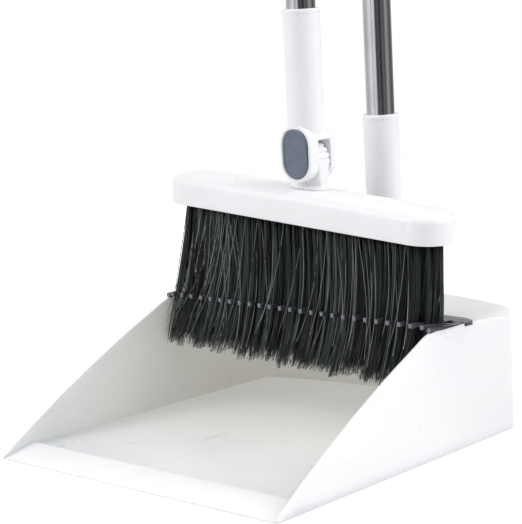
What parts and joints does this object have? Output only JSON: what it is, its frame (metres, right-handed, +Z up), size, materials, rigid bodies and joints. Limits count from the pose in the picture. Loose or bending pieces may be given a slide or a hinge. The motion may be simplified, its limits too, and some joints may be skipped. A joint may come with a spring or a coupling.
{
  "type": "dust pan and brush set",
  "caption": "Upright hooded dust pan with a bristle comb and tubular handle, and a long-handled swivel-head broom parked over it.",
  "frame": {"origin": "centre of the pan's footprint on the floor", "axes": "+Z up, +Y from the pan's lip towards its rear wall, +X to the right seen from the lip"},
  "size_m": [0.265, 0.29, 1.27],
  "materials": {
    "white_plastic": "smooth moulded white",
    "soft_white": "soft white elastomer",
    "dark_plastic": "dark blue-grey moulded, satin",
    "black_plastic": "black moulded, matt",
    "bristle": "stiff black-green filament with pale split tips",
    "chrome_tube": "polished, dark vertical reflections",
    "steel": "plain zinc plated",
    "slate_plastic": "slate blue-grey, satin",
    "slate_grip": "slate soft-touch sleeve"
  },
  "bodies": {
    "pan": {"pan_shell": "white_plastic", "floor_lip": "soft_white", "comb": "dark_plastic", "pan_socket": "white_plastic", "socket_screw": "steel", "pan_lower_plug": "white_plastic", "pan_lower_tube": "chrome_tube", "pan_joint_nut": "white_plastic", "pan_joint_screw": "white_plastic", "pan_upper_tube": "chrome_tube", "pan_grip": "slate_grip", "pan_hanger": "white_plastic", "handle_clip": "white_plastic", "clip_screw": "steel"},
    "broom": {"broom_socket": "white_plastic", "pivot_pin": "steel", "broom_lower_plug": "white_plastic", "broom_lower_tube": "chrome_tube", "broom_lower_nut": "white_plastic", "broom_lower_screw": "white_plastic", "broom_middle_tube": "chrome_tube", "broom_upper_nut": "white_plastic", "broom_upper_screw": "white_plastic", "broom_upper_tube": "chrome_tube", "broom_grip": "slate_grip", "broom_hanger": "white_plastic"},
    "head": {"head_cover": "white_plastic", "bristle_block": "black_plastic", "bristles": "bristle", "head_screws": "steel", "swivel_hub": "white_plastic", "hub_screws": "steel"},
    "button": {"release_button": "slate_plastic", "lock_gear": "steel", "button_spring": "steel"}
  },
  "joints": [
    {"name": "broom_lift", "type": "slide", "parent": "pan", "child": "broom", "axis": [0, 0, 1], "range_m": [0, 0.38]},
    {"name": "head_swivel", "type": "hinge", "parent": "broom", "child": "head", "pos_m": [0, 0.046, 0.1965], "axis": [0, 1, 0], "range_deg": [-93.6, 86.4], "deforming": ["bristles"]},
    {"name": "button_press", "type": "slide", "parent": "broom", "child": "button", "axis": [0, 1, 0], "range_m": [0, 0.0025], "stiffness_N_per_m": 400, "deforming": ["button_spring"]}
  ],
  "couplings": [
    {"joint": "head_swivel", "follows": "broom_lift", "rad_per_m": 3.968}
  ]
}
